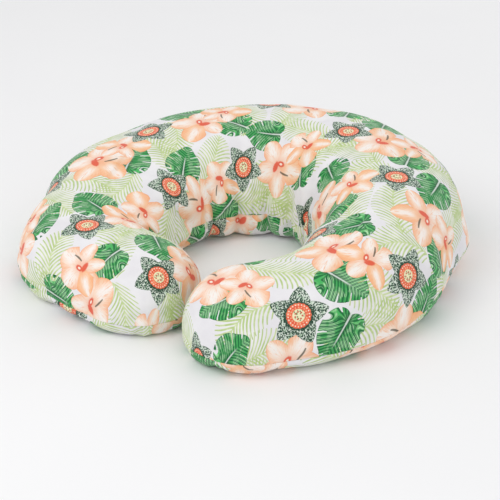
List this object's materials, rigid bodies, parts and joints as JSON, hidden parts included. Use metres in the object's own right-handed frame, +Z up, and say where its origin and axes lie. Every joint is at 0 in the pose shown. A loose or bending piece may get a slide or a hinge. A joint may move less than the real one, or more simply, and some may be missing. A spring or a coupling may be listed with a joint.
{
  "type": "nursing pillow",
  "caption": "C-shaped nursing pillow: printed cotton cover with a zip along its back, an inner casing and soft fibre filling; its two arms flex open round the waist.",
  "frame": {"origin": "centre of the waist opening, which is also the middle of the pillow's box, on the plane that the pillow rests on", "axes": "+Z up; +Y towards the closed back of the C; the arms' tips point towards -Y; +X to the right seen from the tips"},
  "size_m": [0.644, 0.6427, 0.15],
  "materials": {
    "printed_cotton": "off-white cotton printed with green leaves, peach flowers and dotted stars",
    "casing_cotton": "plain white cotton",
    "fibre": "loose white polyester fibre balls",
    "thread": "white polyester overlock thread",
    "zip_tape": "white woven tape",
    "zip_teeth": "white moulded plastic",
    "zip_metal": "satin nickel-coloured",
    "label": "blank white satin ribbon"
  },
  "bodies": {
    "back": {"cover_top_panel_back": "printed_cotton", "cover_bottom_panel_back": "printed_cotton", "cover_seam_thread_back": "thread", "casing_top_panel_back": "casing_cotton", "casing_bottom_panel_back": "casing_cotton", "fibre_filling_back": "fibre", "zip_tape_upper": "zip_tape", "zip_tape_lower": "zip_tape", "zip_teeth_upper": "zip_teeth", "zip_teeth_lower": "zip_teeth", "zip_top_stops": "zip_metal", "zip_bottom_stop": "zip_metal"},
    "left_arm": {"cover_top_panel_left_arm": "printed_cotton", "cover_bottom_panel_left_arm": "printed_cotton", "cover_seam_thread_left_arm": "thread", "casing_top_panel_left_arm": "casing_cotton", "casing_bottom_panel_left_arm": "casing_cotton", "fibre_filling_left_arm": "fibre"},
    "right_arm": {"cover_top_panel_right_arm": "printed_cotton", "cover_bottom_panel_right_arm": "printed_cotton", "cover_seam_thread_right_arm": "thread", "casing_top_panel_right_arm": "casing_cotton", "casing_bottom_panel_right_arm": "casing_cotton", "fibre_filling_right_arm": "fibre"},
    "zip_slider": {"zip_slider": "zip_metal"},
    "zip_pull_tab": {"zip_pull_tab": "zip_metal"},
    "care_label": {"care_label": "label"}
  },
  "joints": [
    {"name": "left_arm_flex", "type": "hinge", "parent": "back", "child": "left_arm", "pos_m": [-0.301, -0.0005, 0.042], "axis": [0, 0, -1], "range_deg": [0, 20], "stiffness_Nm_per_rad": 1.5},
    {"name": "right_arm_flex", "type": "hinge", "parent": "back", "child": "right_arm", "pos_m": [0.301, -0.0005, 0.042], "axis": [0, 0, 1], "range_deg": [0, 20], "stiffness_Nm_per_rad": 1.5},
    {"name": "zip_slider_travel", "type": "hinge", "parent": "back", "child": "zip_slider", "pos_m": [0, 0, 0.042], "axis": [0, 0, -1], "range_deg": [0, 81]},
    {"name": "zip_pull_tab_swing", "type": "hinge", "parent": "zip_slider", "child": "zip_pull_tab", "pos_m": [-0.20964, 0.24546, 0.042], "axis": [0, 0, 1], "range_deg": [0, 170]},
    {"name": "care_label_flip", "type": "hinge", "parent": "back", "child": "care_label", "pos_m": [-0.26745, 0.1804, 0.042], "axis": [0.5592, 0.829, 0], "range_deg": [0, 120]}
  ]
}
